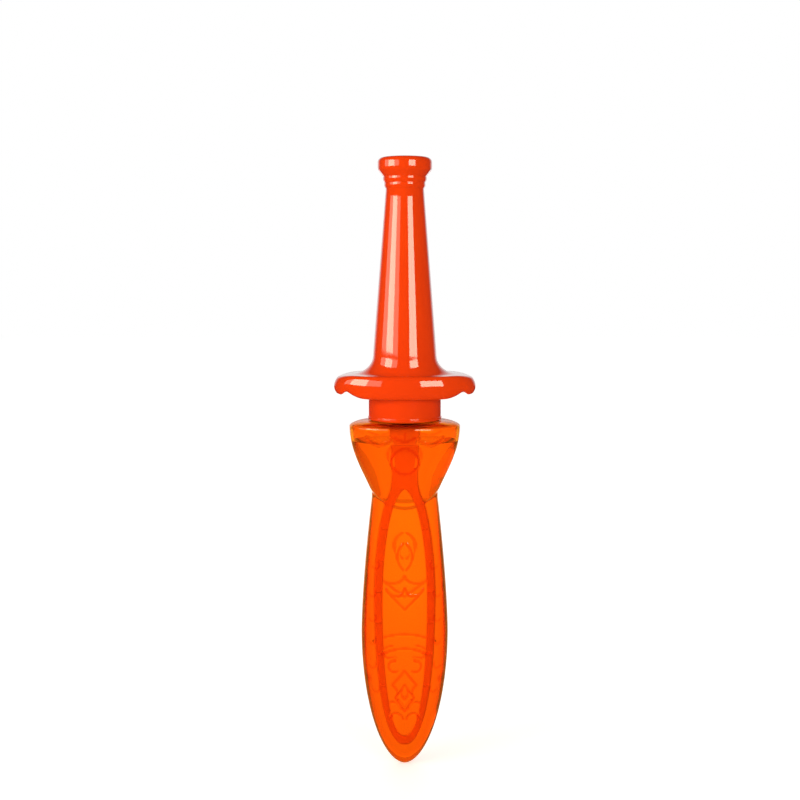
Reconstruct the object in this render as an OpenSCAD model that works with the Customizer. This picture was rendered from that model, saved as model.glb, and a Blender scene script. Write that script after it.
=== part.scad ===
// Sword-shaped bubble wand: a blade-shaped bottle for bubble solution, and a hilt
// whose screw cap carries the wand that hangs inside the bottle.
// It stands on its long axis, tip down, with the bottle's waist at z = 0 and the front facing -Y.

/* [Bottle] */
// Length of the blade, from the waist down to the tip
blade_len = 155; // [150:1:175]
// Width of the blade at its widest section
blade_w = 48.6; // [44:0.2:56]
// Drop from the waist to the widest section
belly_drop = 77; // [65:1:88]
// Width at the waist, under the bowl
waist_w = 37; // [35:0.5:42]
// Width of the bowl at its rim
bowl_w = 61.5; // [56:0.5:70]
// Depth of the bowl at its rim
bowl_d = 44; // [43:0.5:54]
// Height from the waist to the bowl's rim
bowl_h = 40; // [32:1:50]
// Height from the rim over the shoulder to the foot of the neck
shoulder_h = 4; // [3:0.5:8]
// Height of the bowl's lower lip above the waist, at the sides
lip_side_h = 4; // [2:0.5:8]
// How far the lip dips below its sides, at the front and back
lip_dip = 8; // [4:0.5:12]
// How far the lip stands out of the blade
lip_step = 1; // [0.6:0.1:1.6]
// Wall of the blown bottle
bottle_wall = 1.4; // [0.8:0.1:1.6]
// Wall at the tip, where the blown tube is pinched off
tip_wall = 1.8; // [1.2:0.1:3]
// Height of the neck above the shoulder
neck_h = 10.4; // [9:0.2:14]
// Wall of the neck
neck_wall = 1.6; // [1.4:0.1:2.4]
// How far the foot of the neck spreads onto the shoulder
neck_spread = 1; // [0.6:0.1:1.6]

/* [Wand] */
// Outer width of the loop
loop_w = 29.8; // [26:0.2:31]
// Drop from the waist to the loop's widest level
loop_drop = 62; // [56:1:68]
// Width of the loop's rails
rail_w = 4; // [3:0.2:5]
// Height of the window inside the loop
window_h = 143; // [125:1:146]
// Height of the rail at the loop's tip
tip_rail = 5; // [4:0.2:7]
// Height of the window's top, where the stem forks, above the waist
fork_h = 6; // [2:0.5:10]
// Thickness of the loop and stem, front to back
wand_t = 4.5; // [3.5:0.1:5.5]
// Width of the stem above the loop
stem_w = 12; // [10:0.5:14]
// Width of the stem at its top
stem_top_w = 17; // [15:0.5:20]
// Height over which the stem widens
flare_h = 18; // [12:1:24]
// Pairs of cross ribs up the rails, which hold the solution
rib_pairs = 6; // [3:1:7]
// Spacing of the cross ribs
rib_pitch = 18; // [14:1:18]
// Height of a cross rib along the rail
rib_h = 1.6; // [1:0.1:2.4]
// How far a cross rib stands out of the rail's faces
rib_out = 0.6; // [0.4:0.1:0.8]
// Diameter of the plug on top of the stem
plug_d = 11; // [9:0.2:12]
// Height of the plug
plug_h = 13; // [9:0.5:15]
// Diameter of the flange under the plug
flange_d = 18; // [17:0.5:22]
// Thickness of the flange
flange_t = 1.5; // [1:0.1:2]

/* [Screw cap] */
// Wall of the skirt
skirt_wall = 1.2; // [1:0.1:1.8]
// Height of the plain lip round the foot of the skirt
skirt_lip_h = 1.2; // [0.8:0.1:2]
// How far the lip stands out of the skirt
skirt_lip_out = 0.35; // [0.2:0.05:0.6]
// Thickness of the cap's top plate
plate_t = 1.4; // [1:0.1:2]
// Ledge round the top plate that the hilt stands on
ledge_w = 2.4; // [1.8:0.1:3]
// Height of the spigot that snaps into the hilt
spigot_h = 8; // [6:0.5:10]
// Wall of the spigot and of the wand's socket
spigot_wall = 1.6; // [1.2:0.1:2]
// Radius of the snap bead round the spigot
bead_r = 0.5; // [0.3:0.05:0.8]
// Thickness of the soft seal ring
seal_t = 1.2; // [0.8:0.1:2]

/* [Hilt] */
// Width of the guard, end to end
guard_w = 78.8; // [74:0.2:90]
// Depth of the guard, front to back
guard_d = 50; // [48:0.5:60]
// Height of the guard
guard_h = 12.6; // [11:0.2:16]
// Rise of the guard's underside towards its ends
guard_rise = 3.6; // [1.5:0.1:4.5]
// Length of the knob at each end of the guard
knob_len = 7.5; // [5:0.1:9]
// How far each knob drops below the raised underside
knob_drop = 2.6; // [1:0.1:3]
// Radius of the guard's upper edge
guard_top_r = 2.5; // [2:0.5:4]
// Radius of the guard's lower edge
guard_foot_r = 2; // [1.5:0.1:3]
// How far the guard's side bulges at half its height
guard_bulge = 1.2; // [0.4:0.1:2]
// How far the guard's upper edge droops at its ends
guard_droop = 2.4; // [1:0.2:4]
// Wall of the blown hilt
hilt_wall = 1.5; // [1:0.1:2]
// Diameter of the grip above its flared foot
grip_foot_d = 34.8; // [33:0.2:38]
// Diameter of the grip at its top
grip_top_d = 20.4; // [19:0.2:23]
// Height of the grip, from the guard to the first ring
grip_h = 100.7; // [85:0.1:120]
// Height of the flare from the guard up into the grip
flare_rise = 10; // [5:0.5:14]
// Spread of the flare along the guard
flare_spread = 12; // [6:0.5:14]
// Height of each ring between grip and pommel
ring_h = 3.3; // [2:0.1:4]
// How far each ring stands out
ring_out = 0.4; // [0.2:0.1:0.8]
// Diameter of the pommel's foot, above the rings
pommel_foot_d = 23.2; // [22:0.2:26]
// Height of the pommel above the rings
pommel_h = 10.3; // [9:0.1:16]
// Widest diameter of the pommel
pommel_d = 29.2; // [27:0.2:34]
// Height of the slope from the rings out to the pommel's side
pommel_slope_h = 3.8; // [2:0.2:5]
// Radius of the pommel's upper edge
pommel_edge_r = 2.6; // [1.5:0.1:3.5]

// Flat of the guard's underside left round the cap
seat_margin = 1; // [0.5:0.1:2]

/* [Fits] */
// Room round the loop where it turns in the blade
turn_clear = 1.1; // [1:0.1:2.5]
// Room round the loop where it is drawn through the waist and neck
draw_clear = 1.0; // [0.9:0.1:2]
// Room between the neck and the skirt for the threads
thread_room = 1.6; // [1.4:0.1:2.2]
// Gap under the skirt when the cap is home
skirt_gap = 0.6; // [0.4:0.1:1]
// Gap between the seal ring and the skirt
seal_clear = 0.2; // [0.1:0.05:0.4]
// Gap between the spigot and the hilt, and between the plug and its socket
push_clear = 0.05; // [0.02:0.01:0.1]

/* [Hidden] */
$fn = 96;

bottle_colour = [1, 0.42, 0.02, 0.6];
hilt_colour = "#F53A08";
wand_colour = "#FFA230";
seal_colour = "#F2EDE4";

// Sides and steps of the lofted shells
bottle_sides = 40;
tip_steps = 12;
blade_steps = 8;
bowl_steps = 8;
shoulder_steps = 5;
guard_sides = 72;
edge_steps = 4;
flare_steps = 6;

// Squareness of the bottle's sections, where 2 is an ellipse
section_power = 2;
// How many times smaller the flat of the tip is than the blade's widest section
tip_flat = 12;
// Fullness of the blade's round point, of its taper to the waist and of the bowl
tip_power = 0.53;
taper_power = 1.5;
bowl_power = 1.1;
// Fullness of the loop above and below its widest level, and the steps of its outline
fork_power = 0.62;
loop_power = 0.44;
loop_steps = 56;

// Bottle: depths that let the loop turn and pass, and the heights of its levels
blade_d = loop_w + 2 * turn_clear + 2 * bottle_wall;
waist_d = loop_w + 2 * draw_clear + 2 * bottle_wall;
tip_z = -blade_len;
belly_z = -belly_drop;
shoulder_z = bowl_h + shoulder_h;
bore_r = loop_w / 2 + draw_clear;
neck_r = bore_r + neck_wall;
neck_foot_r = neck_r + neck_spread;
neck_rim_z = shoulder_z + neck_h;
rim_chamfer = neck_wall / 4;

// Screw cap: from the neck outwards and upwards
skirt_bore_r = neck_r + thread_room;
cap_r = skirt_bore_r + skirt_wall;
skirt_z = shoulder_z + skirt_gap;
plate_z = neck_rim_z + seal_t;
hilt_z = plate_z + plate_t;
spigot_r = cap_r - ledge_w;
bead_z = hilt_z + spigot_h - 4 * bead_r;
socket_r = plug_d / 2 + push_clear;

// Wand: the ends of the loop's window and of its outer edge, whose top is hidden in the stem
flange_z = plate_z - flange_t;
stem_top_z = flange_z + flange_t / 2;
loop_z = -loop_drop;
window_half_w = loop_w / 2 - rail_w;
window_low_z = fork_h - window_h;
loop_low_z = window_low_z - tip_rail;
loop_top_z = fork_h + 2 * rail_w;
flare_d = (stem_top_w - stem_w) / 2;
stem_flare_r = (pow(flare_h, 2) + pow(flare_d, 2)) / (2 * flare_d);
flare_z = fork_h + stem_w;

// Hilt: the guard, then the grip, the two rings and the pommel above it
guard_top_z = hilt_z + guard_h;
grip_top_z = guard_top_z + grip_h;
ring_count = 2;
pommel_z = grip_top_z + ring_count * ring_h;
pommel_top_z = pommel_z + pommel_h;
mouth_r = spigot_r + push_clear;
collar_r = mouth_r + hilt_wall;
collar_h = spigot_h + hilt_wall;
flat_r = cap_r + seat_margin;
knob_x = guard_w / 2 - knob_len;
droop_x = guard_w / 3;
flare_share = 0.9;
flare_y = min(flare_spread, flare_share * (guard_d / 2 - guard_top_r - guard_bulge - grip_foot_d / 2));

// Small overlap that keeps a cut clear of the face it opens, and a joint sunk in what it joins
cut = 1;

// Points along an arc
function arc(centre, r, from, to, steps = 8) =
    [for (i = [0 : steps]) let (a = from + (to - from) * i / steps) centre + r * [cos(a), sin(a)]];

// A ring of points round an oval of half-width a and half-depth b
function oval(a, b, z, sides, power = 2) =
    [for (i = [0 : sides - 1])
        let (c = cos(360 * i / sides), s = sin(360 * i / sides))
        [a * sign(c) * pow(abs(c), 2 / power), b * sign(s) * pow(abs(s), 2 / power), z]];

// A closed solid through rings of points, listed from the lowest to the highest
module loft(rings) {
    n = len(rings[0]);
    last = len(rings) - 1;
    walls = [for (j = [0 : last - 1], i = [0 : n - 1])
        let (a = j * n + i, b = j * n + (i + 1) % n)
        each [[a, a + n, b], [b, a + n, b + n]]];
    foot = [for (i = [0 : n - 1]) i];
    head = [for (i = [0 : n - 1]) last * n + n - 1 - i];
    polyhedron([for (ring = rings) each ring], concat([foot], walls, [head]));
}

// Half-size of the blade at height z: a round point below the belly, a slow taper above it
function blade_half(z, belly, waist, low) =
    z < belly_z
        ? belly * pow(1 - pow((belly_z - z) / (belly_z - low), 2), tip_power)
        : belly - (belly - waist) * pow((z - belly_z) / belly_drop, taper_power);

// Rings of the blade, drawn in by the wall for the hollow; its top end is hidden in the bowl
function blade_rings(wall, low) =
    let (
        belly = [blade_w, blade_d] / 2 - [wall, wall],
        waist = [waist_w, waist_d] / 2 - [wall, wall],
        levels = concat(
            [for (i = [1 : tip_steps]) low + (belly_z - low) * (1 - cos(90 * i / tip_steps))],
            [for (i = [1 : blade_steps]) belly_z * (1 - i / blade_steps)]))
    concat(
        [oval(belly.x / tip_flat, belly.y / tip_flat, low, bottle_sides, section_power)],
        [for (z = levels) oval(
            blade_half(z, belly.x, waist.x, low), blade_half(z, belly.y, waist.y, low),
            z, bottle_sides, section_power)],
        [oval(waist.x, waist.y, bowl_h / 2, bottle_sides, section_power)]);

// Lower edge of the bowl beside a point at distance y from the middle plane
function lip_z(y, half_d) = lip_side_h - lip_dip * pow(y / half_d, 2);

// Rings of the bowl and shoulder, drawn in by the wall; the lowest two lie hidden in the blade
function bowl_rings(wall) =
    let (
        waist = [waist_w, waist_d] / 2 - [wall, wall],
        lip = waist + [lip_step / 2, lip_step],
        rim = [bowl_w, bowl_d] / 2 - [wall, wall],
        foot = neck_foot_r - wall,
        rise = shoulder_h - wall,
        sunk = waist - [lip_step, lip_step])
    concat(
        [oval(sunk.x / 2, sunk.y / 2, lip_side_h, bottle_sides, section_power)],
        [[for (q = oval(sunk.x, sunk.y, 0, bottle_sides, section_power))
            [q.x, q.y, lip_z(q.y, sunk.y) + wall - lip_step]]],
        [for (i = [0 : bowl_steps])
            let (u = i / bowl_steps, f = pow(sin(90 * u), bowl_power), half = lip + (rim - lip) * f)
            [for (q = oval(half.x, half.y, 0, bottle_sides, section_power))
                let (low = lip_z(q.y, half.y) + wall)
                [q.x, q.y, low + (bowl_h - low) * u]]],
        [for (i = [1 : shoulder_steps])
            let (c = cos(90 * i / shoulder_steps), s = sin(90 * i / shoulder_steps))
            oval(foot + (rim.x - foot) * c, foot + (rim.y - foot) * c, bowl_h + rise * s,
                bottle_sides, 2 + (section_power - 2) * c)]);

// Blown bottle: a hollow blade, bowl and shoulder under a round neck
module bottle() {
    color(bottle_colour)
    difference() {
        union() {
            loft(blade_rings(0, tip_z));
            loft(bowl_rings(0));
            rotate_extrude() polygon([
                [0, bowl_h], [neck_r, bowl_h], [neck_r, neck_rim_z - rim_chamfer],
                [neck_r - rim_chamfer, neck_rim_z], [0, neck_rim_z]]);
        }
        loft(blade_rings(bottle_wall, tip_z + tip_wall));
        loft(bowl_rings(bottle_wall));
        translate([0, 0, bowl_h]) cylinder(r = bore_r, h = shoulder_h + neck_h + cut);
    }
}

// Screw cap: skirt and lip outside, top plate, snap spigot above it and the wand's socket in the middle
module screw_cap() {
    color(hilt_colour)
    rotate_extrude() difference() {
        union() {
            translate([skirt_bore_r, skirt_z]) square([skirt_wall, hilt_z - skirt_z]);
            translate([cap_r - skirt_wall / 2, skirt_z]) square([skirt_wall / 2 + skirt_lip_out, skirt_lip_h]);
            translate([0, plate_z]) square([cap_r, plate_t]);
            translate([spigot_r - spigot_wall, plate_z]) square([spigot_wall, plate_t + spigot_h]);
            translate([spigot_r - bead_r / 2, bead_z]) circle(r = bead_r, $fn = 24);
            translate([0, plate_z]) square([socket_r + spigot_wall, plug_h + spigot_wall]);
        }
        translate([0, plate_z - cut]) square([socket_r, plug_h + cut]);
    }
}

// Soft ring pressed between the neck's rim and the cap's top plate
module seal_ring() {
    color(seal_colour)
    translate([0, 0, neck_rim_z]) difference() {
        cylinder(r = skirt_bore_r - seal_clear, h = seal_t);
        translate([0, 0, -cut]) cylinder(r = bore_r, h = seal_t + 2 * cut);
    }
}

// Half-width at height z of a leaf that is pointed towards its top and round towards its foot
function leaf_half(z, half, top, low) =
    z > loop_z
        ? half * pow(max(0, 1 - pow((z - loop_z) / (top - loop_z), 2)), fork_power)
        : half * pow(max(0, 1 - pow((loop_z - z) / (loop_z - low), 2)), loop_power);

// Leaf outline, with its points closer together towards its ends
module leaf(half, top, low) {
    right = [for (i = [0 : loop_steps])
        let (z = (top + low) / 2 + (top - low) / 2 * cos(180 * i / loop_steps))
        [leaf_half(z, half, top, low), z]];
    polygon(concat(right, [for (i = [loop_steps - 1 : -1 : 1]) [-right[i].x, right[i].y]]));
}

// Front outline of the stem, which widens in two arcs towards its top
module stem_outline() {
    translate([-stem_w / 2, fork_h]) square([stem_w, stem_top_z - fork_h]);
    difference() {
        translate([-stem_top_w / 2, flare_z]) square([stem_top_w, stem_top_z - flare_z]);
        for (side = [-1, 1])
            translate([side * (stem_w / 2 + stem_flare_r), flare_z]) circle(r = stem_flare_r, $fn = 200);
    }
}

// Middle of a rail at height z, measured from the wand's axis
function rail_x(z) =
    (leaf_half(z, window_half_w, fork_h, window_low_z) + leaf_half(z, loop_w / 2, loop_top_z, loop_low_z)) / 2;

// Wand: one long loop under a flat stem, with a round flange and plug on top
module wand() {
    rib_deep = wand_t + 2 * rib_out;
    rib_z = loop_z - (rib_pairs - 1) / 2 * rib_pitch;
    color(wand_colour) {
        rotate([90, 0, 0]) linear_extrude(wand_t, center = true) difference() {
            union() {
                leaf(loop_w / 2, loop_top_z, loop_low_z);
                stem_outline();
            }
            leaf(window_half_w, fork_h, window_low_z);
        }
        for (side = [-1, 1], i = [0 : rib_pairs - 1])
            let (z = rib_z + i * rib_pitch)
            translate([side * rail_x(z), 0, z])
                cube([rail_w - rib_out, rib_deep, rib_h], center = true);
        translate([0, 0, flange_z]) cylinder(d = flange_d, h = flange_t);
        translate([0, 0, flange_z]) cylinder(d = plug_d, h = flange_t + plug_h);
    }
}

// Height of the guard's underside above its flat middle, at a distance x from the axis
function underside(x) =
    abs(x) < knob_x
        ? guard_rise * pow(max(0, abs(x) - flat_r) / (knob_x - flat_r), 2)
        : guard_rise - knob_drop * min(1, (abs(x) - knob_x) / (knob_len / 3));

// Drop of the guard's upper side towards its ends, at a distance x from the axis
function droop(x) = guard_droop * pow(max(0, abs(x) - droop_x) / (guard_w / 2 - droop_x), 2);

// Rings of the guard's surface: an oval with a wavy underside, a bulging side and a flare up into the grip,
// drawn in by the wall; the highest ring lies hidden in the grip
function guard_rings(wall) =
    let (
        low = hilt_z + wall,
        high = guard_top_z - wall,
        mid = (low + high) / 2,
        grip_foot = grip_foot_d / 2 - wall,
        foot_r = guard_foot_r - wall / 2,
        top_r = guard_top_r - wall / 2,
        half = [guard_w / 2 - wall, guard_d / 2 - wall],
        foot_flats = [for (k = [0.5, 0.65, 0.8, 0.9]) [(1 - k) * half.y, low]],
        foot_edge = [for (i = [0 : edge_steps]) let (a = 90 * i / edge_steps)
            [foot_r * (1 - sin(a)), low + foot_r * (1 - cos(a))]],
        top_edge = [for (i = [0 : edge_steps]) let (a = 90 * i / edge_steps)
            [top_r * (1 - cos(a)), high - top_r * (1 - sin(a))]])
    concat(
        [for (p = concat(foot_flats, foot_edge, [[0, mid]], top_edge))
            let (
                near = max(0, (high - top_r - p.y) / (high - top_r - low)),
                inset = p.x + guard_bulge * pow((p.y - mid) / (high - mid), 2))
            [for (q = oval(half.x * (1 - inset / half.y), half.y - inset, p.y, guard_sides))
                q + [0, 0, near * underside(q.x) - (1 - near) * droop(q.x)]]],
        [for (i = [0 : flare_steps - 1])
            let (c = 1 - sin(90 * i / flare_steps), s = 1 - cos(90 * i / flare_steps))
            [for (q = oval(grip_foot + flare_spread * c, grip_foot + flare_y * c, high + flare_rise * s, guard_sides))
                q - [0, 0, droop(q.x)]]],
        [oval(grip_foot - cut, grip_foot - cut, high + flare_rise, guard_sides)]);

// Radius of the cone between grip and pommel, behind ring i
function core_r(i) = (grip_top_d + (pommel_foot_d - grip_top_d) * (i + 0.5) / ring_count) / 2;

// Upright profile of the grip, its rings and the pommel, drawn in by the wall
module grip_outline(wall) {
    foot = grip_foot_d / 2 - wall;
    top = grip_top_d / 2 - wall;
    head = pommel_d / 2 - wall;
    polygon(concat(
        [[0, guard_top_z - guard_top_r], [foot, guard_top_z - guard_top_r]],
        [[foot, guard_top_z + flare_rise - wall], [top, grip_top_z]],
        [[pommel_foot_d / 2 - wall, pommel_z + wall], [head, pommel_z + wall + pommel_slope_h]],
        arc([head - pommel_edge_r, pommel_top_z - wall - pommel_edge_r], pommel_edge_r, 0, 90),
        [[0, pommel_top_z - wall]]));
}

// Blown hilt: pommel, grip and guard in one hollow shell, open at a round mouth underneath
module hilt() {
    color(hilt_colour)
    difference() {
        union() {
            loft(guard_rings(0));
            rotate_extrude() {
                grip_outline(0);
                for (i = [0 : ring_count - 1])
                    translate([core_r(i) + ring_out - ring_h / 2, grip_top_z + (i + 0.5) * ring_h])
                        circle(d = ring_h, $fn = 24);
            }
        }
        difference() {
            union() {
                loft(guard_rings(hilt_wall));
                rotate_extrude() grip_outline(hilt_wall);
            }
            translate([0, 0, hilt_z]) cylinder(r = collar_r, h = collar_h);
        }
        rotate_extrude() {
            translate([0, hilt_z - cut]) square([mouth_r, collar_h + 2 * cut]);
            translate([spigot_r - bead_r / 2, bead_z]) circle(r = bead_r + push_clear, $fn = 24);
        }
    }
}

bottle();
screw_cap();
seal_ring();
wand();
hilt();
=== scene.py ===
"""Sword-shaped bubble wand: tinted bottle with its solution, wand, screw cap, seal and hilt."""
import math

import bmesh
import bpy
import numpy as np
from bpy.props import FloatProperty, FloatVectorProperty, IntProperty, PointerProperty
from bpy.types import Operator, Panel, PropertyGroup
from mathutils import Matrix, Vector


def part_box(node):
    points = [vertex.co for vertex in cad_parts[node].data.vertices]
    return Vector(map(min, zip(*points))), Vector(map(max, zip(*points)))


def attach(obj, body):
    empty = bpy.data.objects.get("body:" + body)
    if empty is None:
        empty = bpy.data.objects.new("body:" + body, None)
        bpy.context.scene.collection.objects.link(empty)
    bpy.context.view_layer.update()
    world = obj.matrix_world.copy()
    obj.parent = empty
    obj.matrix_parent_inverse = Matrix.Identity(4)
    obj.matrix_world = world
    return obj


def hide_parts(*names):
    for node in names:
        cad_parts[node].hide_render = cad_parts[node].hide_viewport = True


bl_info = {
    "name": "Sword bubble wand",
    "version": (1, 0, 0),
    "blender": (4, 5, 0),
    "location": "View3D > Sidebar > Bubble wand",
    "description": "Builds a sword-shaped bubble wand with its bottle, solution, wand, cap, seal and hilt",
    "category": "Object",
}

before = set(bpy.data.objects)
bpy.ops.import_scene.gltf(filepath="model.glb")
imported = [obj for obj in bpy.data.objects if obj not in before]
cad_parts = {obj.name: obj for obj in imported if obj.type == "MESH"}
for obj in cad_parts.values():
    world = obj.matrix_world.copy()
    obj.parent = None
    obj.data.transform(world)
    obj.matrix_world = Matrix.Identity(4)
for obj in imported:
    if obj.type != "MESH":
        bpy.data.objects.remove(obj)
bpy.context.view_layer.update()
BOTTLE_LOW, BOTTLE_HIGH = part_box("bottle")
CAP_LOW, CAP_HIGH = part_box("screw_cap")
SEAL_LOW, SEAL_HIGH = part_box("seal_ring")
WAND_LOW, WAND_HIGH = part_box("wand")
HILT_LOW, HILT_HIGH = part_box("hilt")

MM = 0.001
QUARTER = math.pi / 2
# Points round the bottle, its solution, the hilt, the turned pieces and a rib of the wand
BOTTLE_SIDES = 240
SOLUTION_SIDES = 120
HILT_SIDES = 288
TURNED_SIDES = 144
PLUG_SIDES = 72
RIB_SIDES = 20
# Rings of the bottle: up its point, up the taper to the waist, up the bowl, and over the shoulder
TIP_RINGS = 140
TAPER_RINGS = 104
BOWL_RINGS = 48
SHOULDER_RINGS = 12

# How much clear plastic and water bend the light
PLASTIC_IOR = 1.5
WATER_IOR = 1.33

# Fullness of the blade's point, of its taper and of the bowl, as in the frame
TIP_POWER = 0.53
TAPER_POWER = 1.5
BOWL_POWER = 1.1
# Fullness of the wand's loop above and below its widest level
FORK_POWER = 0.62
LOOP_POWER = 0.44
# How far a wall faces the front or back where the scrolls begin, and where they stand in full
SCROLL_FROM = 0.68
SCROLL_FULL = 0.92
# How soon a scroll reaches its full depth of colour, which is deeper plastic and painted shade
SCROLL_TONE = 3
# The small hooks by the blade's edges: their share of the scrolls' height, and of the painted shade that
# draws them as darker strokes with hardly any relief
HOOK_HEIGHT = 0.03
HOOK_SHADE = 0.34
# Half-width of the moulds' parting lines
SEAM_HALF = 0.6 * MM
# Turns of the threads on the neck and in the cap
THREAD_TURNS = 1.6

# The stage: camera's sensor in millimetres, half the floor's width and the lamps' lower edge in metres
SENSOR = 36
FLOOR_HALF = 4.0
LAMP_FOOT = 0.12
# Glow of the floor for the eye, near and far from the part, for gloss and clear plastic, and where it is dim
FLOOR_NEAR = 0.45
FLOOR_FAR = 0.64
FLOOR_SEEN = 0.87
FLOOR_DIM = 0.03


def linear(code):
    """Linear RGBA of an sRGB hex colour."""
    channels = [int(code[i:i + 2], 16) / 255 for i in (1, 3, 5)]
    return tuple(c / 12.92 if c <= 0.04045 else ((c + 0.055) / 1.055) ** 2.4 for c in channels) + (1.0,)


def length(name, description, default):
    """A length property whose default is in millimetres."""
    return FloatProperty(
        name=name, description=description, default=default * MM, unit="LENGTH", precision=5)


def watts(name, description, default):
    """A property for the power of a lamp."""
    return FloatProperty(name=name, description=description, default=default, unit="POWER")


def colour(name, description, code):
    """A colour property whose default is an sRGB hex colour."""
    return FloatVectorProperty(
        name=name, description=description, default=linear(code), size=4, min=0, max=1, subtype="COLOR")


class BottleSizes(PropertyGroup):
    """Sizes and colours of the blown bottle and its solution."""

    blade_w: length("Blade width", "At its belly", 48.6)
    blade_d: length("Blade depth", "At its belly", 34.8)
    belly_drop: length("Belly drop", "From the waist down to the belly", 77)
    waist_w: length("Waist width", "Of the blade under the bowl", 37)
    waist_d: length("Waist depth", "Of the blade under the bowl", 34.6)
    bowl_w: length("Bowl width", "At its rim", 61.5)
    bowl_d: length("Bowl depth", "At its rim", 44)
    bowl_h: length("Bowl height", "From the waist to its rim", 40)
    shoulder_h: length("Shoulder height", "From the rim to the neck's foot", 4)
    lip_side_h: length("Lip height", "Of the bowl's lower lip, at the sides", 4)
    lip_dip: length("Lip dip", "Of the lip at the front and back", 8)
    lip_step: length("Lip step", "From the blade out to the lip", 1)
    wall: length("Wall", "Thickness of the blown wall", 1.4)
    tip_wall: length("Tip wall", "Thickness of the wall at the tip", 1.8)
    neck_r: length("Neck radius", "On its outside", 17.5)
    bore_r: length("Bore radius", "Inside the neck", 15.9)
    neck_spread: length("Neck spread", "Of the neck's foot on the shoulder", 1)
    fill_h: length("Fill height", "Of the solution above the waist", 32.5)
    relief_h: length("Relief height", "Of the moulded scrolls", 0.48)
    relief_w: length("Relief width", "Half the width of a scroll's line", 0.95)
    seam_h: length("Seam height", "Of the mould's parting line", 0.18)
    tint: colour("Plastic tint", "Colour that one wall gives the light", "#FC9C24")
    depth_tint: colour("Depth tint", "Colour that a long way through the plastic keeps", "#F07208")
    # The scroll colour is partly the deeper plastic of the raised scrolls and partly painted shade along
    # their lines and on the hooks
    scroll_tint_and_shade: colour("Scroll tint", "Colour of the plastic in the raised scrolls", "#EC6004")


class WandSizes(PropertyGroup):
    """Sizes and colours of the moulded wand."""

    loop_w: length("Loop width", "At its outer edge", 29.8)
    loop_drop: length("Loop drop", "From the waist to the loop's widest level", 62)
    rail_w: length("Rail width", "Of the loop's rails", 4)
    window_h: length("Window height", "Inside the loop", 143)
    fork_h: length("Fork height", "Of the window's top above the waist", 6)
    thick: length("Thickness", "Of the loop and stem", 4.5)
    stem_w: length("Stem width", "Above the loop", 12)
    stem_top_w: length("Stem top width", "Under the flange", 17)
    flare_h: length("Flare height", "Over which the stem widens", 18)
    rib_pairs: IntProperty(name="Rib pairs", description="Pairs of cross ribs on the rails", default=6)
    rib_pitch: length("Rib pitch", "Spacing of the cross ribs", 18)
    rib_h: length("Rib height", "Along the rail", 1.6)
    rib_out: length("Rib stand-out", "Out of the rail", 0.6)
    plug_r: length("Plug radius", "Of the plug on top of the stem", 5.5)
    plug_h: length("Plug height", "Above the flange", 13)
    flange_r: length("Flange radius", "Under the plug", 9)
    flange_t: length("Flange thickness", "Under the plug", 1.5)
    edge_r: length("Edge radius", "Of the moulded edges", 0.7)
    dark: colour("Wand colour, deep", "Deeper colour of the wand's plastic", "#F0B026")
    light: colour("Wand colour, light", "Lighter colour of the wand's plastic", "#F8BC32")


class HiltSizes(PropertyGroup):
    """Sizes and colours of the hilt, the screw cap and the seal."""

    guard_h: length("Guard height", "Over all", 12.6)
    guard_rise: length("Guard rise", "Of its underside towards its ends", 3.6)
    knob_len: length("Knob length", "At each end of the guard", 7.5)
    knob_drop: length("Knob drop", "Below the raised underside", 2.6)
    top_r: length("Upper edge", "Radius of the guard's upper edge", 1.1)
    foot_r: length("Lower edge", "Radius of the guard's lower edge", 1.6)
    bulge: length("Bulge", "Of the guard's side at half its height", 1.2)
    droop: length("Droop", "Of the guard's upper edge at its ends", 2.4)
    wall: length("Wall", "Thickness of the blown wall", 1.5)
    grip_foot_r: length("Grip foot radius", "Above its flared foot", 17.4)
    grip_top_r: length("Grip top radius", "Under the rings", 10.2)
    grip_h: length("Grip height", "From the guard to the first ring", 100.7)
    flare_rise: length("Flare rise", "From the guard up into the grip", 10)
    flare_side: length("Flare spread", "Along the guard", 12)
    flare_front: length("Flare front", "Spread at the front and back", 3.5)
    ring_h: length("Ring height", "Of each ring between grip and pommel", 3.3)
    ring_out: length("Ring stand-out", "Out of the grip", 0.4)
    pommel_foot_r: length("Pommel foot", "Its radius above the rings", 11.6)
    pommel_r: length("Pommel radius", "At its widest", 14.6)
    slope_h: length("Pommel slope", "Height from the rings to its side", 3.8)
    pommel_edge_r: length("Pommel edge", "Radius of its upper edge", 2.6)
    seam_h: length("Seam height", "Of the mould's parting line", 0.15)
    skirt_bore_r: length("Skirt bore", "Radius inside the cap's skirt", 19.1)
    cap_r: length("Cap radius", "Outside its skirt", 20.3)
    skirt_lip_h: length("Skirt lip", "Height of the lip round its foot", 1.2)
    plate_t: length("Plate thickness", "Of the cap's top plate", 1.4)
    spigot_r: length("Spigot radius", "Of the part that snaps into the hilt", 17.9)
    spigot_h: length("Spigot height", "Above the plate", 8)
    spigot_wall: length("Spigot wall", "Also of the wand's socket", 1.6)
    push_clear: length("Push clearance", "Between the spigot and the hilt", 0.05)
    thread_h: length("Thread height", "On the neck and in the skirt", 0.7)
    thread_w: length("Thread width", "At its root", 2)
    thread_pitch: length("Thread pitch", "Rise in one turn", 3.6)
    dark: colour("Hilt colour, deep", "Deeper colour of the hilt's plastic", "#EC3A03")
    light: colour("Hilt colour, light", "Lighter colour of the hilt's plastic", "#F64506")
    foam: colour("Seal colour", "Colour of the foam seal", "#F2EDE4")


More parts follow.
